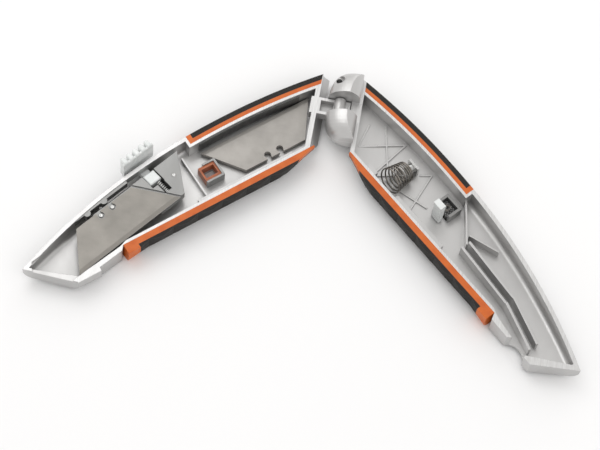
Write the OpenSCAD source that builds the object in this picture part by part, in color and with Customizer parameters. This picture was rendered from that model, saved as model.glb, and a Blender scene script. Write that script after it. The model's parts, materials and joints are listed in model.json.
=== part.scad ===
// Clam-shell utility knife, lying fully open on its two outer faces.
// Each half is drawn in its own knife frame: the hinge centre is the origin, X runs
// from the nose to the tail, Y towards the spine, Z from the outer face inwards.

/* [Body] */
// Distance from the hinge axis to the nose tip
body_len = 172; // [165:1:210]
// Thickness of one half, from its outer face to the parting plane
half_t = 10.5; // [10.5:0.1:13]
// Height of the spine's crown above the hinge
spine_h = 22.4; // [21.6:0.2:27]
// Depth of the belly below the hinge
belly_h = 17.6; // [17:0.1:21.4]
// Angle of the hinge axis from square across the knife
rake = 42; // [38:1:46]
// Wall thickness of the castings
wall = 1.4; // [1:0.1:1.8]
// Floor thickness of the castings
floor_t = 1.8; // [1.2:0.1:2.1]
// Radius of the outer long edges
edge_r = 4; // [2:0.5:5]
// How far the belly flank curves in below the grip
flank_in = 6.4; // [5:0.1:7]
// Gap left at the parting plane by each half
part_gap = 0.15; // [0.05:0.05:0.4]

/* [Grips] */
// Depth of the rubber and its trim at the spine
spine_grip_t = 4.6; // [3.6:0.1:5]
// Depth of the rubber and its trim at the belly
belly_grip_t = 5.2; // [5:0.1:6.1]
// Depth of the coloured trim at the spine
trim_t = 2; // [1:0.1:2.6]
// Depth of the coloured trim at the belly
belly_trim_t = 3.1; // [2.6:0.1:3.3]
// Length of the spine grip
spine_grip_len = 76; // [62:1:77]
// Number of waves along the belly grip
belly_waves = 8; // [4:1:12]
// Depth of each wave
wave_depth = 1.6; // [0.6:0.1:1.6]

/* [Blades] */
// Length of a blade's cutting edge
blade_len = 61; // [58:0.5:62]
// Length of a blade's back
blade_back = 33; // [30:0.5:36]
// Width of a blade from back to edge
blade_w = 18.8; // [18:0.1:19.2]
// Thickness of a blade
blade_t = 0.65; // [0.5:0.05:0.7]
// Number of spare blades in the handle
spares = 3; // [1:1:3]
// Travel of the blade between stored and full reach
blade_travel = 25; // [15:1:25]
// Angle of the blade's slide below the knife's axis
slide_tilt = 10.5; // [9:0.5:12]

/* [Hinge] */
// Radius of the hinge pin
pin_r = 1.5; // [1:0.1:1.8]
// Radial clearance of the pin in the tongue
pin_fit = 0.05; // [0.02:0.01:0.09]
// Width of the tongue between the cheeks
tongue_w = 9; // [7:0.5:11]
// Radius of the tongue's barrel
barrel_r = 5; // [4:0.1:5.4]
// Radius of the knuckle round the pin
knuckle_r = 2.7; // [2.6:0.1:3.4]
// Radius of the end cap about the hinge axis
cap_r = 10; // [9:0.1:10.2]
// Clearance of the moving parts from each other
run_gap = 0.4; // [0.3:0.05:0.6]
// Radius of the lanyard hole
lanyard_r = 1.5; // [1:0.1:1.7]

/* [Controls] */
// Reach of the latch hook past the parting plane
hook_reach = 6.4; // [5:0.1:6.6]
// Travel of the thumb button when pressed
thumb_travel = 1.2; // [0.8:0.1:1.4]
// Travel of the release button when pressed
release_travel = 1.5; // [1:0.1:1.6]

/* [Hidden] */
$fn = 48;
big = 300;

// Heights above the outer face
part_z = half_t;
rim_z = half_t - part_gap;
blade_z = rim_z - 0.1 - blade_t;

// Long curves of the knife's side view
crown_x = -50;
front_run = body_len + crown_x;
tail_run = 3 - crown_x;
tail_drop = 4.2;
nose_x = -body_len;
nose_rise = 3.5;
nose_flat = -118;
nose_drop = 1.1;
tail_tuck = 4.6;
tail_rise = 1.2;
tail_rise_run = 20;

// Grip stations
spine_grip_rear = 3;
spine_grip_front = spine_grip_rear - spine_grip_len;
belly_grip_rear = -23;
belly_grip_front = nose_x + 43.4;
belly_seat = -belly_h + belly_grip_t;
belly_rubber_x = belly_grip_front + 8;
trim_lip_z = half_t - 3.2;
ledge_w = 4.8;

// Blade stored in the nose, in its own frame: U along the edge to the tail, V to the back
blade_tip = [nose_x + 20.5, -15.6];
end_run = (blade_len - blade_back) / 2;
// Handle magazine
spare_mid = -39.2;
spare_top = spine(spare_mid + blade_len / 2) - spine_grip_t - wall - 0.3;
spare_z = floor_t + 0.6;
spare_pitch = blade_t + 0.05;
// Latch
latch_x = -71.5;
hook_y = 1.4;
button_y = 7.4;
// Conical spring
spring_x = -45.5;
spring_y = 7.2;
spring_small = 3.6;
spring_large = 6.8;
spring_len = 16.4;
spring_lean = 8.8;
stub_r = 2.2;
// Thumb button, in the blade's frame
thumb_u = 58.7;
thumb_v = 26.9;
rivet = [66.3, 10.8];
carriage_top = blade_w + 0.7;
hollow_r = 2.4;
carriage_z = floor_t + 1.6 + hollow_r + 0.2;
neck_z0 = part_z - 7.6;
neck_z1 = part_z - 4.7;
// Tongue, along the hinge axis
tongue_mid = -2.5;
cap_mid = [-6, -2];
cap_half = [12.2, 18.2];
cap_back = -9;
cap_high = 9.7;
pin_lo = -16;
pin_hi = 7.6;

// Frame of the open knife
reach_low = body_len * sin(rake) + 2.8;
reach_high = 16.6;
mid_y = (reach_high - reach_low) / 2;

function clamp(v) = min(1, max(0, v));
function ease(v) = let (c = clamp(v)) c * c * (3 - 2 * c);

function spine(x) = x < crown_x
    ? spine_h * (1 - pow(min(1, (crown_x - x) / front_run), 2.2))
    : spine_h - tail_drop * pow((x - crown_x) / tail_run, 2);

// The belly deepens at the nose and rises to the tail
function belly(x) = -belly_h - nose_drop * ease((belly_grip_front - x) / 8)
    + tail_tuck * ease((x + 45) / 25);

function along(x, y) = x * cos(rake) - y * sin(rake);

function outer_z(x, y) =
    nose_rise * pow(clamp((nose_flat - x) / (nose_flat - nose_x)), 2)
    + tail_rise * pow(clamp((along(x, y) + 26) / tail_rise_run), 2);

// Share of the full flank curve reached at a station
function flank(x) = ease((x - belly_grip_front) / 12);

// One cross-section of the body, inset by its wall, lifted by its floor; the belly's corner
// is a quarter ellipse, BY across and BZ high
function ring(x, inset, lift, r, by, bz, top) = let (
    ys = spine(x) - inset,
    yb = belly(x) + inset,
    steps = 7
) concat(
    [[x, ys, top]],
    [for (i = [0 : steps]) let (a = 90 * i / steps, y = ys - r + r * cos(a))
        [x, y, outer_z(x, y) + lift + r - r * sin(a)]],
    [for (i = [1 : 3]) let (y = ys - r + (yb - ys + by + r) * i / 4)
        [x, y, outer_z(x, y) + lift]],
    [for (i = [steps : -1 : 0]) let (a = 90 * i / steps, y = yb + by - by * cos(a))
        [x, y, outer_z(x, y) + lift + bz - bz * sin(a)]],
    [[x, yb, top]]
);

// Skin over a row of rings, closed at both ends
module loft(rings) {
    m = len(rings[0]);
    n = len(rings);
    sides = [for (i = [0 : n - 2], j = [0 : m - 1])
        each [[i * m + j, i * m + (j + 1) % m, (i + 1) * m + j],
              [i * m + (j + 1) % m, (i + 1) * m + (j + 1) % m, (i + 1) * m + j]]];
    ends = [[for (j = [m - 1 : -1 : 0]) j], [for (j = [0 : m - 1]) (n - 1) * m + j]];
    polyhedron(points = [for (r = rings) each r], faces = concat(sides, ends));
}

function stations() = concat(
    [for (i = [0 : 21]) nose_x + (crown_x - nose_x) * i / 22],
    [for (i = [0 : 12]) crown_x + (12 - crown_x) * i / 12]
);

module body_blank() {
    high = part_z - 1.6;
    loft([for (x = stations()) ring(x, 0, 0, edge_r, edge_r + (flank_in - edge_r) * flank(x),
                                    edge_r + (high - edge_r) * flank(x), rim_z)]);
}

module body_hollow(inset, lift) {
    loft([for (x = stations()) ring(x, inset, lift, hollow_r, hollow_r, hollow_r, part_z + 8)]);
}

// Band that follows the spine, from one depth below it to another
module spine_band(x0, x1, d0, d1) {
    n = 24;
    xs = [for (i = [0 : n]) x0 + (x1 - x0) * i / n];
    linear_extrude(big / 4)
        polygon(concat([for (x = xs) [x, spine(x) - d0]],
                       [for (i = [n : -1 : 0]) [xs[i], spine(xs[i]) - d1]]));
}

module base_place() {
    translate([0, -mid_y, 0]) rotate([0, 0, rake]) children();
}

module lid_place() {
    translate([0, -mid_y, 0]) mirror([1, 0, 0]) rotate([0, 0, rake]) children();
}

// Frame with X across the hinge axis and Y along it
module hinge_frame() {
    rotate([0, 0, -rake]) children();
}

module hinge_rod(r, y0, y1) {
    hinge_frame() translate([0, y1, part_z]) rotate([90, 0, 0]) cylinder(r = r, h = y1 - y0);
}

// Frame of the cutting blade
module blade_frame() {
    translate([blade_tip[0], blade_tip[1], 0]) rotate([0, 0, slide_tilt]) children();
}

module box(x, y, z) {
    translate([x[0], y[0], z[0]]) cube([x[1] - x[0], y[1] - y[0], z[1] - z[0]]);
}

// Side outline of the base casting; the spine is cut by the blank
module base_outline() {
    linear_extrude(big / 4)
        polygon([[nose_x, 60], [nose_x, 0], [nose_x + 18.1, -18.1], [nose_x + 18.1, -40],
                 [nose_x + 27.5, -40], [nose_x + 30.4, -16.8], [belly_grip_front, -14.6],
                 [belly_grip_front + 1.8, belly_seat], [belly_grip_rear, belly_seat],
                 [belly_grip_rear, -11.2], [30, -11.2], [30, 60]]);
}

module lid_outline() {
    notch_r = 7;
    difference() {
        linear_extrude(big / 4)
            polygon([[nose_x, 60], [nose_x, 0], [nose_x + 16.4, -16.4], [belly_grip_front, -15.6],
                     [belly_grip_front + 1.8, belly_seat], [belly_grip_rear, belly_seat],
                     [belly_grip_rear, -40], [30, -40], [30, 60]]);
        translate([nose_x + 26.5, -19.4, -1]) cylinder(r = notch_r, h = big / 4 + 2);
    }
}

// Side of the tail line where the grips lie
module grip_side() {
    hinge_frame() box([-big, -cap_r - run_gap - 0.3], [-big, big], [-big, big]);
}

// Seat cut along the spine for the rubber and its trim
module spine_seat() {
    intersection() {
        spine_band(spine_grip_front, spine_grip_rear, -6, spine_grip_t);
        grip_side();
    }
}

// Inside of a half, held back from the tail face and the nose face
module inner_limits(tail_n, nose_back) {
    difference() {
        linear_extrude(big / 4)
            polygon([[nose_x + nose_back, 60], [nose_x + nose_back, -1.2],
                     [nose_x + 18.1 + nose_back * 0.7, -15.6], [nose_x + 30, -14.4],
                     [belly_grip_front, -12.4],
                     [belly_grip_front + 4, belly_seat + wall], [20, belly_seat + wall], [20, 60]]);
        hinge_frame() box([tail_n, big], [-big, big], [-1, big]);
        spine_band(spine_grip_front - wall, 20, -30, spine_grip_t + wall);
    }
}

// Flat-topped arm with a knuckle round the pin and a pocket before it
module tongue() {
    lo = tongue_mid - tongue_w / 2;
    hi = tongue_mid + tongue_w / 2;
    rim = 1.5;
    difference() {
        union() {
            difference() {
                union() {
                    hinge_rod(barrel_r, lo, hi);
                    hinge_frame() box([-14, 0], [lo, hi], [part_z - barrel_r, rim_z]);
                }
                hinge_frame() box([-20, 20], [lo - 1, hi + 1], [rim_z, big]);
            }
            hinge_rod(knuckle_r, lo, hi);
        }
        hinge_rod(pin_r + pin_fit, lo - 1, hi + 1);
        hinge_frame() box([-9.2, -knuckle_r - 0.2], [lo + rim, hi - rim], [part_z - 3.4, big]);
    }
}

// Room swept by the cutting blade
module blade_sweep(grow) {
    blade_frame() translate([0, 0, blade_z - grow]) linear_extrude(30)
        polygon([[-blade_travel - 1.5, -grow], [blade_len + 2, -grow],
                 [blade_back + end_run + 2, blade_w + grow],
                 [end_run - blade_travel - 1, blade_w + grow]]);
}

module blade_plan() {
    notch_r = 1.7;
    difference() {
        polygon([[0, 0], [blade_len, 0], [end_run + blade_back, blade_w], [end_run, blade_w]]);
        for (side = [-1, 1]) translate([blade_len / 2 + side * 3.4, blade_w - 2]) {
            circle(r = notch_r, $fn = 32);
            translate([-notch_r * 0.7, 0]) square([notch_r * 1.4, 3]);
        }
    }
}

module base_shell() color("gainsboro") base_place() {
    difference() {
        intersection() {
            body_blank();
            base_outline();
        }
        intersection() {
            body_hollow(2, floor_t);
            inner_limits(-cap_r - 2.8, 3);
            box([-big, big], [-big, big], [0, big]);
        }
        spine_seat();
        blade_sweep(0.25);
        hinge_rod(cap_r + run_gap, -60, 60);
        hinge_frame() box([-7, big], [-big, big], [-1, big]);
        thumb_slot();
        keeper_window();
    }
    tongue();
    base_ledge();
    base_ribs();
}

// Slot in the spine wall for the thumb button's neck
module thumb_slot() {
    blade_frame()
        box([thumb_u - 2.6 - blade_travel, thumb_u + 2.6], [18, 34], [neck_z0 - 0.3, neck_z1 + 0.3]);
}

// Window through the base under the latch
module keeper_window() {
    box([latch_x - 3.2, latch_x + 3.2], [hook_y - 1.7, hook_y + 3.2], [-1, floor_t + 1]);
}

// Step along the belly wall that carries the spare blades' side
module base_ledge() {
    box([-84, belly_grip_rear - 9], [belly_seat + 0.4, belly_seat + ledge_w], [1, part_z - 5.3]);
}

module base_ribs() {
    rib = 0.9;
    box([-79.2, -79.2 + rib], [belly_seat + 1, 15.5], [1, 4.6]);
    nose_rib_x = nose_x + 36;
    box([nose_rib_x, nose_rib_x + rib], [belly_seat + 0.4, spine(nose_rib_x) - 2.6],
        [1, floor_t + 1.2]);
}

module magazine_plate() color("dimgray") base_place() {
    intersection() {
        spine_band(-69, -14, spine_grip_t + wall + 0.02, spine_grip_t + wall + 0.5);
        box([-big, big], [-big, big], [floor_t + 0.9, part_z - 1.2]);
    }
}

module latch_keeper() color("saddlebrown") base_place() {
    difference() {
        box([latch_x - 4.2, latch_x + 4.2], [hook_y - 3.4, hook_y + 4.6],
            [floor_t, part_z - hook_reach + 2.3]);
        box([latch_x - 3.2, latch_x + 3.2], [hook_y - 1.7, hook_y + 3.2], [-1, part_z]);
        box([latch_x - 3.2, latch_x + 3.2], [hook_y - 2.7, hook_y],
            [-1, part_z - hook_reach + 1.6]);
    }
}

module keeper_bracket() color("silver") base_place() {
    high = part_z - hook_reach + 3;
    box([latch_x + 4.2, latch_x + 5.2], [hook_y - 4.4, hook_y + 5.6], [floor_t, high]);
    box([latch_x - 1.5, latch_x + 4.3], [hook_y + 4.6, hook_y + 5.6], [floor_t, high]);
    box([latch_x - 4.2, latch_x + 4.3], [hook_y - 4.4, hook_y - 3.4], [floor_t, high]);
}

module detent_rail() color("silver") base_place() {
    tooth_r = 1.7;
    low = blade_w + 3;
    intersection() {
        blade_frame() translate([0, 0, part_z - 4.2]) difference() {
            linear_extrude(3.7) {
                polygon([[16, low], [47.5, low], [47.5, low + 3], [16, low + 3]]);
                for (i = [0, 1]) translate([23 + 10 * i, low]) circle(r = tooth_r);
            }
        }
        body_hollow(2.02, 0.1);
    }
}

module spare_blade(i) color("darkgray") base_place() {
    translate([spare_mid - blade_len / 2, spare_top, spare_z + i * spare_pitch])
        mirror([0, 1, 0]) linear_extrude(blade_t) blade_plan();
}

module spare_blade_1() spare_blade(0);
module spare_blade_2() if (spares > 1) spare_blade(1);
module spare_blade_3() if (spares > 2) spare_blade(2);

module cutting_blade() color("lightgray") base_place() {
    blade_frame() translate([0, 0, blade_z]) linear_extrude(blade_t) blade_plan();
}

// Carriage under the blade, held clear of the spine wall
module blade_carrier() color("gray") base_place() intersection() {
    body_hollow(2.25, floor_t + 0.25);
    blade_frame() carriage();
}

module carriage() {
    under = blade_z - 0.05;
    difference() {
        union() {
            translate([0, 0, carriage_z]) linear_extrude(under - carriage_z)
                polygon([[24.5, 9.5], [24.5, carriage_top], [66, carriage_top], [63, 0.4],
                         [50, 0.4], [46, 9.5]]);
            translate([0, 0, floor_t + 0.5]) linear_extrude(under - floor_t - 0.5)
                polygon([[53, 3], [53, carriage_top], [66, carriage_top], [63, 3]]);
            translate([0, 0, carriage_z]) linear_extrude(rim_z - 0.15 - carriage_z)
                polygon([[blade_back + end_run + 1.1, carriage_top], [76, carriage_top],
                         [blade_len + 2.8, 0.4], [blade_len + 0.9, 0.4]]);
        }
        box([thumb_u - 4.4, thumb_u + 2.8], [11.8, 40], [neck_z0 - 0.2, big]);
        box([thumb_u - 1.5, thumb_u + 2.5], [6.3, 14], [part_z - 5, big]);
        translate([rivet[0], rivet[1], part_z - 3]) cylinder(r = 1, h = 10);
        for (u = peg_stations()) translate([u, blade_w - 2, under - 3]) cylinder(r = 1, h = 9);
    }
}

function peg_stations() = [for (side = [-1, 1]) blade_len / 2 + side * 3.4];

module carrier_pegs() color("silver") base_place() blade_frame() {
    for (u = peg_stations()) translate([u, blade_w - 2, blade_z - 3.05]) {
        cylinder(r = 1, h = 3.05 + blade_t - 0.1);
    }
}

module carrier_rivet() color("white") base_place() blade_frame() {
    translate([rivet[0], rivet[1], part_z - 3]) cylinder(r = 1, h = 3);
}

module thumb_button() color("whitesmoke") base_place() blade_frame() {
    half_w = 6.2;
    pitch = 3.5;
    base_t = 2.4;
    z0 = part_z - half_w;
    translate([thumb_u, thumb_v, z0]) {
        translate([-9, 0, 0]) cube([18, base_t, 2 * half_w]);
        for (i = [-2 : 2]) translate([i * pitch, base_t, 0]) cylinder(r = 1.7, h = 2 * half_w);
    }
    box([thumb_u - 2.2, thumb_u + 2.2], [13.8, thumb_v + 0.5], [neck_z0, neck_z1]);
    box([thumb_u - 4, thumb_u + 2.4], [13.8, 19.4], [neck_z0, part_z - 0.6]);
}

module thumb_spring() color("silver") base_place() blade_frame() {
    translate([thumb_u + 0.5, 13.7, part_z - 2.9]) rotate([90, 0, 0]) cylinder(r = 1.7, h = 7.2);
}

module hinge_pin() color("silver") lid_place() {
    hinge_rod(pin_r, pin_lo, pin_hi);
}

// Section of the end cap across the hinge, at a place along it
function cap_section(h) = let (
    t = abs(h - cap_mid[1]) / cap_half[1],
    front = cap_mid[0] + cap_half[0] * pow(1 - pow(t, 3), 1 / 3) - cap_back,
    up = cap_high * pow(1 - pow(t, 3.4), 1 / 3.4),
    round = 0.85
) [for (i = [0 : 30]) let (a = -90 + 6 * i)
    [cap_back + front * pow(abs(cos(a)), round), h,
     part_z + up * sign(sin(a)) * pow(abs(sin(a)), round)]];

module cap_body() {
    hinge_frame() loft([for (i = [-11 : 11]) cap_section(cap_mid[1] + cap_half[1] * sin(7.3 * i))]);
}

// Slot between the cheeks, wide enough for the tongue to turn in
module cheek_slot() {
    lo = tongue_mid - tongue_w / 2 - run_gap;
    hi = tongue_mid + tongue_w / 2 + run_gap;
    hinge_rod(barrel_r + run_gap, lo, hi);
    hinge_frame() {
        box([-cap_r - 1, big], [lo, hi], [rim_z - 0.1, big]);
        box([0, big], [lo, hi], [part_z - barrel_r - run_gap, big]);
    }
}

module lanyard_cut() {
    hinge_frame() translate([2.2, 9.9, 0]) {
        translate([0, 0, -1]) cylinder(r = lanyard_r, h = 60);
        translate([0, 0, part_z + 4]) cylinder(r = lanyard_r + 1, h = 60);
        translate([0, 0, -60 + part_z - 4]) cylinder(r = lanyard_r + 1, h = 60);
    }
}

module bar(a, b, w, z0, z1) {
    run = norm([b[0] - a[0], b[1] - a[1]]);
    translate([a[0], a[1], z0]) rotate([0, 0, atan2(b[1] - a[1], b[0] - a[0])])
        translate([0, -w / 2, 0]) cube([run, w, z1 - z0]);
}

// Zigzag of stiffening ribs on the lid's floor
module lid_ribs() {
    low = -9;
    high = 15;
    rib = 0.8;
    top = floor_t + 0.7;
    knots = [[-14, 8], [-20, -4], [-33, high], [-36, low], [-53, high - 0.5], [-62, low]];
    for (i = [0 : len(knots) - 2]) bar(knots[i], knots[i + 1], rib, 1, top);
    bar([-19, 14], [-37, 0], rib, 1, top);
    bar([-50, -3.5], [-65, 1], rib, 1, top);
    bar([-74, 17], [-92, 2], rib, 1, part_z - 4);
    bar([-89, 6], [-104, 11.5], rib, 1, part_z - 4);
}

// Two long guides that carry the blade's flank when the knife is shut
module nose_guides() {
    for (d = [0, 4.6]) {
        bar([nose_x + 80, 3 - d], [nose_x + 46, 0.6 - d], 1.2, 1, part_z - 2.2);
        bar([nose_x + 46, 0.6 - d], [nose_x + 22, -6.4 - d], 1.2, 2, part_z - 1.4);
    }
}

// Step along the lid's belly wall, broken where the conical spring lies
module lid_ledge() {
    room = spring_large + 0.6;
    difference() {
        box([-86, belly_grip_rear - 9], [-big, belly_seat + ledge_w], [0, part_z - 3.6]);
        box([spring_x - room, spring_x + room], [-big, big], [floor_t, big]);
    }
}

module lid_shell() color("gainsboro") lid_place() {
    difference() {
        union() {
            intersection() {
                body_blank();
                lid_outline();
                union() {
                    cap_body();
                    hinge_frame() box([-big, cap_back + 0.5], [-big, big], [-1, big]);
                }
            }
            intersection() {
                hinge_rod(cap_r, -20.2, 16.2);
                cap_body();
            }
        }
        difference() {
            intersection() {
                body_hollow(2, floor_t);
                inner_limits(-cap_r - 0.6, 4.6);
            }
            difference() {
                lid_ribs();
                box([spring_x - 4.2, spring_x + 4.2], [spring_y - 1, spring_y + 3], [floor_t, big]);
            }
            nose_guides();
            lid_ledge();
        }
        spine_seat();
        cheek_slot();
        hinge_rod(pin_r, pin_lo, pin_hi);
        lanyard_cut();
        box([latch_x - 3.9, latch_x + 3.9], [button_y - 3.2, button_y + 3.2], [-1, floor_t + 1]);
    }
}

module spine_strip(x0, d0, d1) {
    intersection() {
        body_blank();
        grip_side();
        spine_band(x0, spine_grip_rear, d0, d1);
    }
}

function wave(x) = wave_depth * abs(sin(180 * (x - belly_grip_front) * belly_waves
                                        / (belly_grip_rear - belly_grip_front)));

// Band along the belly; the outer edge is wavy where the rubber is gripped
module belly_band(x0, x1, y_in, y_out, waves) {
    n = waves ? 12 * belly_waves : 1;
    linear_extrude(big / 4)
        polygon(concat([[x1, y_in], [x0, y_in]],
                       [for (i = [0 : n]) let (x = x0 + (x1 - x0) * i / n)
                           [x, y_out + (waves ? wave_depth - wave(x) : 0)]]));
}

// Trim that seats the belly rubber and runs on past its front end
module belly_trim() {
    difference() {
        intersection() {
            body_blank();
            belly_band(belly_grip_front + 1.8, belly_grip_rear, belly_seat, -belly_h - 1, false);
        }
        rubber_room(belly_grip_rear + 1, -40, false);
    }
}

// The rubber lies outside the trim at the parting plane and wraps under it below
module rubber_room(rear, y_out, waves) {
    belly_band(belly_rubber_x, rear, belly_seat - belly_trim_t, y_out, waves);
    intersection() {
        belly_band(belly_rubber_x, rear, belly_seat, y_out, waves);
        box([-big, big], [-big, big], [-1, trim_lip_z]);
    }
}

module belly_rubber() {
    intersection() {
        body_blank();
        rubber_room(belly_grip_rear, -belly_h, true);
    }
}

// Trim that seats the spine rubber and closes round its front end
module spine_trim() {
    difference() {
        spine_strip(spine_grip_front, -1, spine_grip_t);
        spine_band(spine_grip_front + 2.5, spine_grip_rear, -1.2, spine_grip_t - trim_t);
    }
}

module spine_rubber() {
    spine_strip(spine_grip_front + 2.5, -1, spine_grip_t - trim_t);
}

module base_spine_trim() color("darkorange") base_place() spine_trim();

module base_spine_grip() color("black") base_place() spine_rubber();

module base_belly_trim() color("darkorange") base_place() belly_trim();

module base_belly_grip() color("black") base_place() belly_rubber();

module lid_spine_trim() color("darkorange") lid_place() spine_trim();

module lid_spine_grip() color("black") lid_place() spine_rubber();

module lid_belly_trim() color("darkorange") lid_place() belly_trim();

module lid_belly_grip() color("black") lid_place() belly_rubber();

// Frame of the conical spring, which lies across the lid with its wide end at the belly
module spring_frame() {
    translate([spring_x, spring_y, floor_t + spring_small + 0.9])
        rotate([90 - spring_lean, 0, 0]) children();
}

module blade_spring() color("dimgray") lid_place() spring_frame() difference() {
    cylinder(r1 = spring_small, r2 = spring_large, h = spring_len);
    translate([0, 0, -1]) cylinder(r = stub_r + 0.2, h = spring_len + 2);
}

module spring_clip() color("silver") lid_place() {
    tab_t = 1.2;
    difference() {
        box([spring_x - 3.4, spring_x + 3.4], [spring_y + 0.6, spring_y + 0.6 + tab_t],
            [floor_t, floor_t + 2 * spring_small]);
        spring_frame() translate([0, 0, -4]) cylinder(r = stub_r, h = 8);
    }
    spring_frame() translate([0, 0, -2]) cylinder(r = stub_r, h = 5);
}

module button_frame() color("silver") lid_place() difference() {
    box([latch_x - 5.1, latch_x + 5.1], [button_y - 3, button_y + 4.6], [floor_t, part_z - 3.4]);
    box([latch_x - 3.8, latch_x + 3.8], [button_y - 4, button_y + 3.3], [0, part_z]);
}

module release_button() color("black") lid_place() {
    box([latch_x - 3.6, latch_x + 3.6], [button_y - 2.8, button_y + 2.9], [0.4, part_z - 6]);
}

module release_spring() color("silver") lid_place() {
    translate([latch_x, button_y, part_z - 5.95]) cylinder(r = 1.6, h = 1.9);
}

module latch_hook() color("whitesmoke") lid_place() {
    box([latch_x - 2.6, latch_x + 2.6], [hook_y - 1.2, hook_y + 1], [floor_t + 0.4, part_z + hook_reach]);
    box([latch_x - 2.6, latch_x + 2.6], [hook_y - 2.2, hook_y - 1.1],
        [part_z + hook_reach - 1.4, part_z + hook_reach]);
}

base_shell();
base_spine_trim();
base_spine_grip();
base_belly_trim();
base_belly_grip();
magazine_plate();
latch_keeper();
keeper_bracket();
detent_rail();
spare_blade_1();
spare_blade_2();
spare_blade_3();
blade_carrier();
carrier_pegs();
carrier_rivet();
cutting_blade();
thumb_button();
thumb_spring();
hinge_pin();
lid_shell();
lid_spine_trim();
lid_spine_grip();
lid_belly_trim();
lid_belly_grip();
blade_spring();
spring_clip();
button_frame();
release_button();
release_spring();
latch_hook();
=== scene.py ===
# %% [markdown]
# # A clam-shell utility knife, opened flat
# The knife is two die-cast halves that swing apart about a hinge at the tail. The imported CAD
# model gives every part its place and its motion. This notebook gives the parts their finish,
# and makes the few shapes that are better built as meshes: the wire springs, the ground blades,
# the moulded thumb button, the pegs and the rivet. It starts by loading the fixed frame. Lengths
# are in metres, and `MM` turns a figure in millimetres into one.

import json
import math

import bpy
import bmesh
from mathutils import Matrix, Vector


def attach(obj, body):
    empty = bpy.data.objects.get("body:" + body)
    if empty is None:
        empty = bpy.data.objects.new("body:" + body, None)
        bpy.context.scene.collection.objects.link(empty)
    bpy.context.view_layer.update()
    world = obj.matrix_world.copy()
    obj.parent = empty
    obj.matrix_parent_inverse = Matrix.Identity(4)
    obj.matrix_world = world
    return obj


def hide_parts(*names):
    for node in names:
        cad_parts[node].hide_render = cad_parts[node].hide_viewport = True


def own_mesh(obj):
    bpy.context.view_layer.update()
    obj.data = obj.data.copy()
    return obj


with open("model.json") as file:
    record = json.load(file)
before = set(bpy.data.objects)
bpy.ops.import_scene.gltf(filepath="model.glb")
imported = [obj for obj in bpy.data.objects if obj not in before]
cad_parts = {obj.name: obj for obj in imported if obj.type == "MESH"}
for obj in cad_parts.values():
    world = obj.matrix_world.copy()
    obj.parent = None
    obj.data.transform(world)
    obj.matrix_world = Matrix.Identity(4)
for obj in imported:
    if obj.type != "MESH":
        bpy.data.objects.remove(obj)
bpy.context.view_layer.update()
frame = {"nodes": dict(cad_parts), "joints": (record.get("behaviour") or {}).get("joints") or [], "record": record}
MM = 0.001

# %% [markdown]
# ## The two knife frames
# Each half is easiest to think of in its own frame: the hinge centre is the origin, X runs from
# the nose to the tail and Y towards the spine. The hinge joint gives the centre, so no place
# has to be typed twice. `RAKE` is the angle at which each half lies away from the hinge.

# %% Frames of the two halves
JOINTS = {joint["name"]: joint for joint in frame["joints"]}
HINGE = Vector(JOINTS["lid_hinge"]["pos_m"])
RAKE = math.radians(42)


def half_matrix(side):
    """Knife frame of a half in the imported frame: side is -1 for the blade half, 1 for the lid."""
    turn = Matrix.Rotation(RAKE, 4, "Z")
    flip = Matrix.Scale(-1, 4, Vector((1, 0, 0))) if side > 0 else Matrix.Identity(4)
    return Matrix.Translation((0, HINGE.y, 0)) @ flip @ turn


BASE, LID = half_matrix(-1), half_matrix(1)
print("hinge centre", tuple(round(c, 4) for c in HINGE))

# %% [markdown]
# ## Writing shaders as sums
# A shader graph is arithmetic on sockets. `Wire` wraps one socket and turns Python operators
# into Math nodes, with the reflected forms too, so `1 - mask` works. `Finish` is one material:
# its `make` method creates any other node from its type, its settings and its sockets.

# %% Wires and finishes
class Wire:
    def __init__(self, finish, socket):
        self.finish, self.socket = finish, socket

    def _math(self, operation, first, second):
        return self.finish.make("ShaderNodeMath", {"operation": operation}, {0: first, 1: second})

    def __add__(self, other):
        return self._math("ADD", self, other)

    def __sub__(self, other):
        return self._math("SUBTRACT", self, other)

    def __rsub__(self, other):
        return self._math("SUBTRACT", other, self)

    def __mul__(self, other):
        return self._math("MULTIPLY", self, other)

    def __pow__(self, other):
        return self._math("POWER", self, other)

    __radd__ = __add__
    __rmul__ = __mul__


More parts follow.
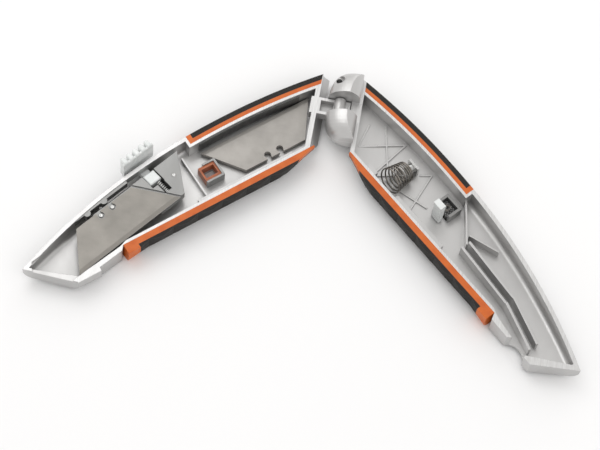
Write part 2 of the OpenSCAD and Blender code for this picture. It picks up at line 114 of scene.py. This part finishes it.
class Finish:
    def __init__(self, name, **constants):
        self.material = bpy.data.materials.new(name)
        self.material.use_nodes = True
        self.tree = self.material.node_tree
        self.shader = next(n for n in self.tree.nodes if n.type == "BSDF_PRINCIPLED")
        for socket, value in constants.items():
            self.shader.inputs[socket.replace("_", " ")].default_value = value

    def plug(self, socket, value):
        if isinstance(value, Wire):
            self.tree.links.new(value.socket, socket)
        else:
            socket.default_value = value

    def make(self, kind, settings=None, plugs=None, pick=0):
        node = self.tree.nodes.new(kind)
        for name, value in (settings or {}).items():
            setattr(node, name, value)
        for name, value in (plugs or {}).items():
            self.plug(node.inputs[name], value)
        return Wire(self, node.outputs[pick])

    def feed(self, **wires):
        for name, wire in wires.items():
            self.plug(self.shader.inputs[name.replace("_", " ")], wire)

    def place(self):
        return self.make("ShaderNodeTexCoord", pick="Object")

    def noise(self, scale, detail=3.0, roughness=0.5, where=None):
        return self.make("ShaderNodeTexNoise", {}, {"Vector": where or self.place(),
                         "Scale": scale, "Detail": detail, "Roughness": roughness})

    def stretch(self, scale, turn=(0, 0, 0)):
        return self.make("ShaderNodeMapping", {}, {"Vector": self.place(), "Scale": scale,
                         "Rotation": turn})

    def blend(self, first, second, mask):
        """Colour between two colours by a mask."""
        return self.make("ShaderNodeMix", {"data_type": "RGBA"},
                         {0: mask, 6: first, 7: second}, pick=2)

    def range(self, value, low, high, out_low=0.0, out_high=1.0):
        return self.make("ShaderNodeMapRange", {}, {"Value": value, "From Min": low,
                         "From Max": high, "To Min": out_low, "To Max": out_high})

    def bump(self, height, distance, strength, normal):
        return self.make("ShaderNodeBump", {}, {"Height": height, "Distance": distance,
                         "Strength": strength, "Normal": normal})

    def soft_edge(self, radius):
        """Normal of the surface with its sharp edges rounded."""
        return self.make("ShaderNodeBevel", {"samples": 4}, {"Radius": radius})

    def edge_mask(self, rounded):
        """1 on sharp edges and 0 on open faces."""
        flat = self.make("ShaderNodeNewGeometry", pick="Normal")
        both = self.make("ShaderNodeVectorMath", {"operation": "DOT_PRODUCT"},
                         {0: rounded, 1: flat}, pick=1)
        return self.range(both, 0.995, 0.80)

    def hollow_shade_mask(self, distance):
        """1 deep in a corner and 0 in the open; the castings use it to paint shade into hollows."""
        open_share = self.make("ShaderNodeAmbientOcclusion", {"samples": 6},
                               {"Distance": distance}, pick=1)
        return 1 - open_share


def rgb(r, g, b):
    return (r, g, b, 1.0)


print("shader helpers ready")

# %% [markdown]
# ## Die-cast zinc
# The two shells come out of a mould and are tumbled: a bright, satin metal with a very fine
# grain, faint flow marks and brighter rubbed edges. Painted shade darkens the colour deep in
# corners and recesses. Bumps at three sizes carry the grain, and the rounded normal gives each
# sharp edge its thin highlight.
# The rim where the halves meet is ground flat afterwards. Its band is picked by height, and fine
# lines across it vary how bright it is; a separate rim mesh would look the same and cost more.

# %% Castings
def casting_finish(name, tint, dark, rough, rim=None):
    f = Finish(name, Metallic=0.80, Specular_IOR_Level=0.5)
    rounded = f.soft_edge(0.28 * MM)
    edges = f.edge_mask(rounded)
    corner_shade = f.hollow_shade_mask(4.5 * MM) ** 1.3
    flow = f.noise(90, 4, 0.6, f.stretch((1.0, 0.35, 1.0), (0, 0, RAKE)))
    grain = f.noise(5200, 2)
    pits = f.range(f.noise(1500, 3), 0.62, 0.75)
    tone = f.blend(tint, dark, f.range(flow, 0.35, 0.75, 0.0, 0.4))
    # Painted shade: deep in corners and recesses the colour darkens towards near black.
    tone = f.blend(tone, rgb(0.10, 0.10, 0.105), f.range(corner_shade, 0.12, 0.95, 0.0, 0.5))
    rough_now = f.range(flow, 0.3, 0.7, rough, rough + 0.12) + corner_shade * 0.1
    if rim:
        height = f.make("ShaderNodeSeparateXYZ", {}, {"Vector": f.place()}, pick="Z")
        ground = f.range(height, rim - 0.15 * MM, rim - 0.05 * MM) * f.range(
            height, rim + 0.3 * MM, rim + 0.2 * MM)
        lines = f.noise(2600, 3, 0.6, f.stretch((1.0, 0.04, 1.0), (0, 0, RAKE)))
        tone = f.blend(tone, rgb(0.86, 0.86, 0.86), ground * f.range(lines, 0.35, 0.65, 0.1, 0.5))
        rough_now = rough_now + ground * f.range(lines, 0.3, 0.7, -0.06, 0.08)
    tone = f.blend(tone, rgb(0.95, 0.95, 0.95), edges * 0.3)
    relief = grain * 0.5 + flow * 0.6 - pits * 0.5
    f.feed(Base_Color=tone, Roughness=rough_now - edges * 0.08,
           Normal=f.bump(relief, 0.03 * MM, 0.5, rounded))
    return f.material


RIM = max(vertex.co.z for vertex in frame["nodes"]["base_spine_trim"].data.vertices)
CASTING = casting_finish("satin_casting", rgb(0.56, 0.555, 0.55), rgb(0.46, 0.455, 0.45), 0.30, RIM)
CARRIER = casting_finish("carrier_casting", rgb(0.27, 0.27, 0.265), rgb(0.20, 0.20, 0.195), 0.26)
print("castings:", CASTING.name, CARRIER.name)

# %% [markdown]
# ## Grips
# The orange strip is a hard moulded seat with a soft sheen. The black strip is rubber: a dull,
# slightly dusty surface with a fine grain and paler worn crests.

# %% Grip finishes
def trim_finish():
    f = Finish("orange_trim", Specular_IOR_Level=0.45)
    rounded = f.soft_edge(0.3 * MM)
    edges = f.edge_mask(rounded)
    mottle = f.noise(220, 4)
    grain = f.noise(4200, 2)
    tone = f.blend(rgb(0.60, 0.128, 0.012), rgb(0.52, 0.096, 0.008), f.range(mottle, 0.35, 0.7))
    tone = f.blend(tone, rgb(0.90, 0.30, 0.06), edges * 0.4)
    f.feed(Base_Color=tone, Roughness=f.range(mottle, 0.3, 0.7, 0.36, 0.5),
           Normal=f.bump(grain, 0.03 * MM, 0.5, rounded))
    return f.material


def rubber_finish():
    f = Finish("black_rubber", Specular_IOR_Level=0.35)
    rounded = f.soft_edge(0.4 * MM)
    edges = f.edge_mask(rounded)
    dust = f.noise(400, 5, 0.65)
    grain = f.make("ShaderNodeTexVoronoi", {}, {"Vector": f.place(), "Scale": 2400.0})
    tone = f.blend(rgb(0.009, 0.008, 0.007), rgb(0.030, 0.026, 0.022), f.range(dust, 0.45, 0.8))
    tone = f.blend(tone, rgb(0.11, 0.105, 0.10), edges * 0.6)
    f.feed(Base_Color=tone, Roughness=f.range(dust, 0.3, 0.8, 0.55, 0.8),
           Normal=f.bump(grain, 0.05 * MM, 0.6, rounded))
    return f.material


TRIM, RUBBER = trim_finish(), rubber_finish()
print("grips:", TRIM.name, RUBBER.name)

# %% [markdown]
# ## Steels
# Blades are ground along their length, so their grain is a noise stretched far along one
# direction. The spare blades are the same steel as the one in the carrier, in a lighter copy:
# that is painted light, for the brighter reflection they catch where they lie. Wire is drawn and dark.

# %% Blade steel
def blade_finish(name, tint, shade):
    f = Finish(name, Metallic=0.75, Specular_IOR_Level=0.5)
    rounded = f.soft_edge(0.12 * MM)
    edges = f.edge_mask(rounded)
    along = f.stretch((0.03, 1.0, 1.0))
    lines = f.noise(6000, 3, 0.6, along)
    oil = f.noise(120, 4, 0.55)
    tone = f.blend(tint, shade, f.range(oil, 0.35, 0.7))
    tone = f.blend(tone, rgb(0.88, 0.87, 0.85), edges * 0.6)
    f.feed(Base_Color=tone,
           Roughness=f.range(oil, 0.3, 0.7, 0.36, 0.48) + f.range(lines, 0.3, 0.7, -0.05, 0.05),
           Normal=f.bump(lines, 0.012 * MM, 0.4, rounded))
    return f.material


def plain_metal(name, tint, worn, rough, scale):
    f = Finish(name, Metallic=1.0)
    rounded = f.soft_edge(0.12 * MM)
    edges = f.edge_mask(rounded)
    scuff = f.noise(scale, 4, 0.6)
    tone = f.blend(tint, worn, f.range(scuff, 0.4, 0.75))
    tone = f.blend(tone, rgb(0.92, 0.92, 0.92), edges * 0.4)
    f.feed(Base_Color=tone, Roughness=f.range(scuff, 0.3, 0.7, rough, rough + 0.15),
           Normal=f.bump(f.noise(scale * 6, 2), 0.015 * MM, 0.4, rounded))
    return f.material


STEEL = blade_finish("blade_steel", rgb(0.265, 0.250, 0.228), rgb(0.24, 0.228, 0.208))
# A lighter copy of the blade steel for the spare blades: painted light for the brighter reflection they catch, not
# a different steel.
LIT_BLADE_COPY = blade_finish("lit_copy_blade_steel", rgb(0.37, 0.352, 0.33), rgb(0.33, 0.315, 0.295))
BRIGHT = plain_metal("bright_steel", rgb(0.60, 0.60, 0.59), rgb(0.45, 0.45, 0.44), 0.20, 500)
WIRE = plain_metal("spring_wire", rgb(0.20, 0.19, 0.18), rgb(0.34, 0.31, 0.27), 0.24, 700)
# The dark plate's near-black tint is painted shade: it stands where the inner wall of the base lies in shade.
SHADE_PLATE = plain_metal("painted_shade_plate", rgb(0.22, 0.22, 0.22), rgb(0.15, 0.15, 0.15), 0.38, 300)
print("steels:", STEEL.name, LIT_BLADE_COPY.name, BRIGHT.name, WIRE.name, SHADE_PLATE.name)

# %% [markdown]
# ## Moulded plastics
# Small mouldings come off the tool glossy, with a faint cloud where the melt cooled unevenly.
# A thin coat carries the gloss. Raised dots, where a part has them, are cells of a regular
# pattern, which is cheaper than modelling each dot and follows the part as it moves.

# %% Mouldings
def moulded(name, tint, shade, rough, coat, dots=0.0):
    f = Finish(name, Specular_IOR_Level=0.5, Coat_Weight=coat, Coat_Roughness=0.12)
    rounded = f.soft_edge(0.25 * MM)
    edges = f.edge_mask(rounded)
    cloud = f.noise(260, 4)
    tone = f.blend(tint, shade, f.range(cloud, 0.35, 0.7))
    height = f.noise(3800, 2) * 0.5
    if dots:
        cells = f.make("ShaderNodeTexVoronoi", {}, {"Vector": f.place(), "Scale": dots,
                       "Randomness": 0.15})
        studs = f.range(cells, 0.42, 0.22)
        tone = f.blend(tone, rgb(0.30, 0.30, 0.30), studs * 0.8)
        height = height + studs * 4.0
    tone = f.blend(tone, rgb(0.95, 0.95, 0.95), edges * 0.25)
    f.feed(Base_Color=tone, Roughness=f.range(cloud, 0.3, 0.7, rough, rough + 0.12),
           Normal=f.bump(height, 0.03 * MM, 0.6, rounded))
    return f.material


PALE = moulded("pale_moulding", rgb(0.76, 0.78, 0.775), rgb(0.66, 0.69, 0.68), 0.20, 0.4)
BROWN = moulded("brown_moulding", rgb(0.42, 0.11, 0.03), rgb(0.30, 0.07, 0.02), 0.35, 0.1)
BUTTON = moulded("dotted_button", rgb(0.012, 0.012, 0.012), rgb(0.03, 0.03, 0.03), 0.4, 0.0, 900)
print("mouldings:", PALE.name, BROWN.name, BUTTON.name)

# %% [markdown]
# ## Dressing the CAD nodes
# Every node keeps its CAD shape and takes the finish of its material slot, unless a mesh piece
# stands for it further on. Going by slot keeps two parts of one material alike.

# %% Finishes by slot
SLOT_FINISH = {"casting": CASTING, "trim": TRIM, "rubber": RUBBER, "blade_steel": STEEL,
               "carrier_zinc": CARRIER, "bright_steel": BRIGHT, "spring_steel": WIRE,
               "dark_plate": SHADE_PLATE, "keeper_plastic": BROWN, "button_plastic": BUTTON,
               "pale_plastic": PALE}
for part in frame["record"]["subparts"]:
    node = frame["nodes"][part["node"]]
    node.data.materials.clear()
    node.data.materials.append(SLOT_FINISH[part["material_slot"]])
print("dressed", len(frame["nodes"]), "CAD nodes")

# %% [markdown]
# ## Mesh helpers
# A made piece is a mesh with a finish and a body to ride on. `Shape` collects several
# solids into one mesh, all in one frame of its own, so that a moulding with ridges and legs is
# one object. A prism's rims are chamfered as it is drawn, as a mould would leave them.

# %% Helpers for pieces
def piece(name, mesh, finish, body, replaces):
    """Mesh object that rides a body and stands for the CAD nodes it replaces."""
    mesh.name = name
    obj = bpy.data.objects.new(name, mesh)
    bpy.context.scene.collection.objects.link(obj)
    mesh.materials.append(finish)
    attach(obj, body)
    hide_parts(*replaces)
    print("made", name, len(mesh.polygons), "faces")
    return obj


def span(node, axis):
    """How far a CAD node reaches along a direction: its lowest and highest place."""
    places = [vertex.co.dot(axis) for vertex in frame["nodes"][node].data.vertices]
    return min(places), max(places)


class Shape:
    """Solids added one by one in a frame given by a matrix, in metres."""

    def __init__(self, matrix):
        self.matrix, self.bm = matrix, bmesh.new()

    def _loops(self, loops, smooth=False):
        rings = [[self.bm.verts.new(self.matrix @ Vector(p)) for p in loop] for loop in loops]
        count = len(rings[0])
        for near, far in zip(rings, rings[1:]):
            for k in range(count):
                quad = (near[k], near[(k + 1) % count], far[(k + 1) % count], far[k])
                self.bm.faces.new(quad).smooth = smooth
        self.bm.faces.new(list(reversed(rings[0])))
        self.bm.faces.new(rings[-1])

    def prism(self, outline, low, high, chamfer=0.0):
        """Outline in the frame's XY, from one height to another, with its rims chamfered."""
        inner = inset(outline, chamfer) if chamfer else outline
        levels = [(inner, low), (outline, low + chamfer), (outline, high - chamfer), (inner, high)]
        levels = levels if chamfer else [levels[0], levels[3]]
        self._loops([[(x, y, z) for x, y in ring] for ring, z in levels])

    def turned(self, centre, profile, sides=28):
        """A solid lathed about an upright axis: the profile lists (radius, height) pairs."""
        angles = [2 * math.pi * k / sides for k in range(sides)]
        self._loops([[(centre[0] + r * math.cos(a), centre[1] + r * math.sin(a), h)
                      for a in angles] for r, h in profile], smooth=True)

    def mesh(self, name):
        bmesh.ops.recalc_face_normals(self.bm, faces=self.bm.faces)
        data = bpy.data.meshes.new(name)
        self.bm.to_mesh(data)
        self.bm.free()
        return data


def inset(outline, by):
    """The outline moved inwards by a distance; it must run anticlockwise."""
    result = []
    count = len(outline)
    for i in range(count):
        a, b, c = (Vector(outline[(i + k - 1) % count]) for k in range(3))
        left = Vector((-(b - a).y, (b - a).x)).normalized()
        right = Vector((-(c - b).y, (c - b).x)).normalized()
        mid = (left + right).normalized()
        result.append(tuple(b + mid * (by / max(0.35, mid.dot(left)))))
    return result


def rectangle(x0, x1, y0, y1):
    return [(x0, y0), (x1, y0), (x1, y1), (x0, y1)]


def arc(centre, radius, start, end, steps):
    """Points on a circle between two angles in degrees."""
    angles = [math.radians(start + (end - start) * i / steps) for i in range(steps + 1)]
    return [(centre[0] + radius * math.cos(a), centre[1] + radius * math.sin(a)) for a in angles]


# %% [markdown]
# ## The frame of the blade
# The slide joint points to the nose and the thumb button's joint points from the blade's back
# to its edge. The blade, its carrier and the thumb button are square to those two directions
# and the vertical, so their meshes are drawn there. The origin is put at the blade's tip.

# %% Blade frame
ALONG = -Vector(JOINTS["blade_slide"]["axis"]).normalized()
ACROSS = -Vector(JOINTS["thumb_press"]["axis"]).normalized()
UP = Vector((0, 0, 1))


def frame_at(along, across, node):
    """Frame with its axes along and across, and its origin at the node's lowest place."""
    low_a, low_c = span(node, along)[0], span(node, across)[0]
    origin = along * low_a + across * low_c
    return Matrix.Translation(origin) @ Matrix((along, across, along.cross(across))
                                               ).transposed().to_4x4()


BLADE = frame_at(ALONG, ACROSS, "cutting_blade")


def blade_reach(node):
    """A node's reach along and across the blade, measured from the blade's tip."""
    return [[p - BLADE.translation.dot(way) for p in span(node, way)] for way in (ALONG, ACROSS)]


print("blade frame at", tuple(round(v, 4) for v in BLADE.translation))

# %% [markdown]
# ## Ground blades
# A utility blade is a trapezoid of thin steel. Its long edge is ground from both sides to a
# narrow bevel, and its back has two notches for the carrier's pegs. A prism could carry the
# outline alone, but its edge would be blunt. So the mesh has two flat faces that stop short of
# the edge, and two long slanted faces that meet in it.

# %% Blades
NOTCH = 1.7 * MM
NECK = 1.19 * MM
NOTCH_DEPTH = 2 * MM
NOTCH_OFFSET = 3.4 * MM
SLOPE = 14 * MM
GRIND = 2 * MM


def notched_back(width, length):
    """Points along the back, from its tail end to its nose end, round the two notches."""
    low = math.degrees(math.asin(NECK / NOTCH))
    points = []
    for centre in (length / 2 + NOTCH_OFFSET, length / 2 - NOTCH_OFFSET):
        hole = (centre, width - NOTCH_DEPTH)
        points.append((centre + NECK, width))
        points += arc(hole, NOTCH, 90 - low, -270 + low, 16)
        points.append((centre - NECK, width))
    return points


def ground_blade(node, along, across, body, finish):
    """A blade with a ground edge in place of the CAD one; across points from edge to back."""
    length = span(node, along)[1] - span(node, along)[0]
    width = span(node, across)[1] - span(node, across)[0]
    low, high = span(node, UP)
    matrix = frame_at(along, across, node)
    bm = bmesh.new()
    rise = GRIND * SLOPE / width
    back = [(length - SLOPE, width)] + notched_back(width, length) + [(SLOPE, width)]
    flat = [(rise, GRIND), (length - rise, GRIND)] + back
    edge = [(0, 0), (length, 0)]
    down = matrix[2][2] < 0
    z0, z1 = (-high, -low) if down else (low, high)
    middle = (z0 + z1) / 2
    tops = [bm.verts.new(matrix @ Vector((x, y, z1))) for x, y in flat]
    bottoms = [bm.verts.new(matrix @ Vector((x, y, z0))) for x, y in flat]
    lips = [bm.verts.new(matrix @ Vector((x, y, middle))) for x, y in edge]
    bm.faces.new(tops)
    bm.faces.new(list(reversed(bottoms)))
    for i in range(1, len(flat)):
        j = (i + 1) % len(flat)
        bm.faces.new((tops[i], tops[j], bottoms[j], bottoms[i]))
    bm.faces.new((lips[0], lips[1], tops[1], tops[0]))
    bm.faces.new((lips[1], lips[0], bottoms[0], bottoms[1]))
    bm.faces.new((lips[0], tops[0], bottoms[0]))
    bm.faces.new((lips[1], bottoms[1], tops[1]))
    bmesh.ops.recalc_face_normals(bm, faces=bm.faces)
    mesh = bpy.data.meshes.new(node)
    bm.to_mesh(mesh)
    bm.free()
    piece(node + "_ground", mesh, finish, body, (node,))


ground_blade("cutting_blade", ALONG, ACROSS, "slide", STEEL)
KNIFE_X = (BASE.to_3x3() @ Vector((1, 0, 0))).normalized()
KNIFE_Y = (BASE.to_3x3() @ Vector((0, 1, 0))).normalized()
for number in (1, 2, 3):
    ground_blade("spare_blade_%d" % number, KNIFE_X, -KNIFE_Y, "base", LIT_BLADE_COPY)

# %% [markdown]
# ## Coil springs
# Each spring is a round wire swept along a helix. Its first and last turns lie close, as on a
# real spring with closed ends. The helix runs between the ends of the CAD stand-in, whose
# corners tell its axis and its two radii. The wire is pulled in by its own radius, so the
# spring stays inside that stand-in. A bevelled curve would draw the same wire, but a swept mesh
# has exact ends.

# %% Springs
def tube(path, radius, sides=10):
    """Mesh of a round wire along a path of points, with closed ends."""
    bm = bmesh.new()
    count = len(path)
    rings = []
    side = None
    for i, point in enumerate(path):
        ahead = (path[min(i + 1, count - 1)] - path[max(i - 1, 0)]).normalized()
        side = side or ahead.orthogonal()
        side = (side - ahead * side.dot(ahead)).normalized()
        other = ahead.cross(side)
        angles = [2 * math.pi * k / sides for k in range(sides)]
        rings.append([bm.verts.new(point + radius * (math.cos(a) * side + math.sin(a) * other))
                      for a in angles])
    for near, far in zip(rings, rings[1:]):
        for k in range(sides):
            quad = (near[k], near[(k + 1) % sides], far[(k + 1) % sides], far[k])
            bm.faces.new(quad).smooth = True
    bm.faces.new(list(reversed(rings[0])))
    bm.faces.new(rings[-1])
    bmesh.ops.recalc_face_normals(bm, faces=bm.faces)
    mesh = bpy.data.meshes.new("wire")
    bm.to_mesh(mesh)
    bm.free()
    return mesh


def stand_in_ends(node, towards):
    """Centres and outer radii of the two ends of a round CAD stand-in, found in a few rounds:
    each round measures the ends square to the axis that the last one found."""
    points = [vertex.co.copy() for vertex in frame["nodes"][node].data.vertices]
    axis = towards.normalized()
    for _ in range(4):
        side = axis.orthogonal().normalized()
        other = axis.cross(side)
        middle = sum(points, Vector()) / len(points)
        ends = [[p for p in points if (p - middle).dot(axis) * way > 0] for way in (-1, 1)]
        centres, radii = [], []
        for end in ends:
            a, b = [p.dot(side) for p in end], [p.dot(other) for p in end]
            along = sum(p.dot(axis) for p in end) / len(end)
            centres.append(axis * along + side * (min(a) + max(a)) / 2
                           + other * (min(b) + max(b)) / 2)
            radii.append((max(a) - min(a)) / 2)
        axis = (centres[1] - centres[0]).normalized()
    return centres, radii


def coil(node, towards, turns, wire, closed=1.0, gather=0.0):
    """Wire mesh of a spring between the ends of its stand-in. With a gather above 0 the turns
    crowd at the start and open towards the end."""
    (start, end), (r0, r1) = stand_in_ends(node, towards)
    axis = (end - start).normalized()
    side = axis.orthogonal().normalized()
    other = axis.cross(side)
    length = (end - start).length - 2 * wire
    flat = closed * 2.2 * wire
    steps = int(turns * 26)
    path = []
    for i in range(steps + 1):
        turn = turns * i / steps
        if turn < closed:
            place = flat * turn / closed
        elif turn > turns - closed:
            place = length - flat * (turns - turn) / closed
        else:
            share = (turn - closed) / (turns - 2 * closed)
            place = flat + (length - 2 * flat) * (share + gather * share * (share - 1))
        radius = r0 + (r1 - r0) * place / length - wire
        angle = 2 * math.pi * turn
        path.append(start + axis * (wire + place)
                    + radius * (math.cos(angle) * side + math.sin(angle) * other))
    return tube(path, wire)


def springs():
    cone_way = (LID.to_3x3() @ Vector((0, -1, 0))).normalized()
    piece("cone_spring", coil("blade_spring", cone_way, 7.6, 0.38 * MM, 0.6, 0.5),
          WIRE, "lid", ("blade_spring",))
    thumb = piece("thumb_coil", coil("thumb_spring", ACROSS, 7.0, 0.30 * MM),
                  BRIGHT, "slide", ("thumb_spring",))
    (foot, _head), _radii = stand_in_ends("thumb_spring", ACROSS)
    length = span("thumb_spring", ACROSS)[1] - span("thumb_spring", ACROSS)[0]
    travel = JOINTS["thumb_press"]["range_m"][1]
    1 - travel / length
    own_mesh(thumb)
    release = piece("release_coil", coil("release_spring", UP, 3.0, 0.16 * MM, 0.6),
                    WIRE, "lid", ("release_spring",))
    (_foot, head), _radii = stand_in_ends("release_spring", UP)
    length = span("release_spring", UP)[1] - span("release_spring", UP)[0]
    travel = JOINTS["release_press"]["range_m"][1]
    1 - travel / length
    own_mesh(release)


springs()

# %% [markdown]
# ## Thumb button
# The button is one pale moulding: a foot that runs on the spine, five rounded ribs for the
# thumb, a neck through the slot and a leg that presses the small spring. Each rib is a prism
# with a half-round top and chamfered ends. Lathed barrels would be rounder, but they would not
# sit flat on the foot, and the chamfers catch the light as moulded ribs do.

# %% Thumb button
def thumb_button():
    (u0, u1), (v0, v1) = blade_reach("thumb_button")
    z0, z1 = span("thumb_button", UP)
    middle, parting = (u0 + u1) / 2, HINGE.z
    low = 2 * parting - z1
    rib, foot, pitch, height = 1.28 * MM, 1.3 * MM, 3.55 * MM, 4.1 * MM
    foot_inset = 0.6 * MM
    neck_half, neck_depth = 2.2 * MM, 2.9 * MM
    leg_front, leg_back, leg_height, leg_gap = 4.0 * MM, 2.4 * MM, 5.6 * MM, 0.6 * MM
    foot_low = v1 - height
    shape = Shape(BLADE)
    shape.prism(rectangle(u0, u1, foot_low, foot_low + foot), low + foot_inset,
                z1 - foot_inset, 0.35 * MM)
    for k in range(-2, 3):
        u = middle + k * pitch
        shape.prism([(u - rib, foot_low + 0.1 * MM), (u + rib, foot_low + 0.1 * MM)]
                    + arc((u, v1 - rib), rib, 0, 180, 10), low, z1, 0.5 * MM)
    neck = rectangle(middle - neck_half, middle + neck_half, v0 + 3 * MM, foot_low + 0.5 * MM)
    shape.prism(neck, z0, z0 + neck_depth, 0.2 * MM)
    leg = rectangle(middle - leg_front, middle + leg_back, v0, v0 + leg_height)
    shape.prism(leg, z0, parting - leg_gap, 0.45 * MM)
    piece("ribbed_button", shape.mesh("thumb"), PALE, "thumb",
          ("thumb_button",))


thumb_button()

# %% [markdown]
# ## Pegs and rivet
# The pegs are turned pins with a rounded head, and the rivet has a domed head with a small
# dimple where the tool closed it. Both are lathed from a short profile, which rounds the heads
# with few faces.

# %% Pegs and rivet
def pegs():
    low, high = span("carrier_pegs", UP)
    (u0, u1), (v0, v1) = blade_reach("carrier_pegs")
    radius = (v1 - v0) / 2
    shape = Shape(BLADE)
    for u in (u0 + radius, u1 - radius):
        shape.turned((u, (v0 + v1) / 2), [(radius, low), (radius, high - 0.25 * MM),
                     (radius * 0.93, high - 0.1 * MM), (radius * 0.75, high),
                     (radius * 0.4, high - 0.12 * MM), (radius * 0.1, high - 0.15 * MM)])
    piece("turned_pegs", shape.mesh("pegs"), BRIGHT, "slide", ("carrier_pegs",))


def rivet():
    low, high = span("carrier_rivet", UP)
    (u0, u1), (v0, v1) = blade_reach("carrier_rivet")
    radius = (v1 - v0) / 2
    shape = Shape(BLADE)
    shape.turned(((u0 + u1) / 2, (v0 + v1) / 2),
                 [(radius, low), (radius, high - 0.35 * MM), (radius * 0.85, high - 0.12 * MM),
                  (radius * 0.5, high), (radius * 0.25, high - 0.12 * MM),
                  (radius * 0.05, high - 0.16 * MM)])
    piece("domed_rivet", shape.mesh("rivet"), BRIGHT, "slide",
          ("carrier_rivet",))


pegs()
rivet()

# %% [markdown]
# ## Camera
# The open knife lies on a table and is looked down on from a steep angle with a long lens. The
# camera is put on a sphere round the target, then turned about its own line of sight.

# %% Camera
def look(azimuth, elevation, roll, distance, target, lens):
    back = Vector((math.sin(azimuth) * math.cos(elevation),
                   -math.cos(azimuth) * math.cos(elevation), math.sin(elevation)))
    right = (-back).cross(Vector((0, 0, 1))).normalized()
    up = right.cross(-back)
    right, up = (right * math.cos(roll) + up * math.sin(roll),
                 up * math.cos(roll) - right * math.sin(roll))
    place = target + back * distance
    turn = Matrix((right, up, back)).transposed().to_4x4()
    data = bpy.data.cameras.new("camera")
    data.sensor_width = 36
    data.lens = lens
    camera = bpy.data.objects.new("camera", data)
    camera.matrix_world = Matrix.Translation(place) @ turn
    bpy.context.scene.collection.objects.link(camera)
    bpy.context.scene.camera = camera


look(azimuth=math.radians(0.4), elevation=math.radians(62.5), roll=math.radians(10.0),
     distance=0.9, target=Vector((-8.4, -15.9, 8.0)) * MM, lens=116.6)

# %% [markdown]
# ## Floor and light
# Bare metal shows what is around it, so the light is mostly a bright, even surround. Three
# large lamps add a soft direction: a key from the left, a fill from the right and a lamp
# behind that draws the rims. The floor is pale and dull, and only takes a faint shadow.

# %% Floor and light
def pale_floor():
    f = Finish("pale_floor", Roughness=0.75, Specular_IOR_Level=0.2)
    cloud = f.noise(3, 3)
    f.feed(Base_Color=f.blend(rgb(0.92, 0.92, 0.92), rgb(0.88, 0.88, 0.89), cloud))
    bpy.ops.mesh.primitive_plane_add(size=6, location=(0, 0, -0.0002))
    plane = bpy.context.object
    plane.name = "floor"
    plane.data.materials.append(f.material)


def lamp(name, place, size, watts):
    data = bpy.data.lights.new(name, "AREA")
    data.energy, data.size = watts, size
    obj = bpy.data.objects.new(name, data)
    obj.location = place
    obj.rotation_euler = (Vector((0, 0, 0)) - Vector(place)).to_track_quat("-Z", "Y").to_euler()
    bpy.context.scene.collection.objects.link(obj)


pale_floor()
lamp("key", (-0.5, 0.5, 1.0), 0.8, 3.2)
lamp("fill", (0.7, -0.5, 0.9), 1.0, 1.5)
lamp("back", (0.2, 1.2, 0.5), 0.8, 1.8)
world = bpy.data.worlds.new("studio")
bpy.context.scene.world = world
world.use_nodes = True
surround = world.node_tree.nodes["Background"]
surround.inputs["Color"].default_value = rgb(1.0, 0.99, 0.975)
surround.inputs["Strength"].default_value = 0.88
bpy.context.scene.view_settings.view_transform = "Standard"
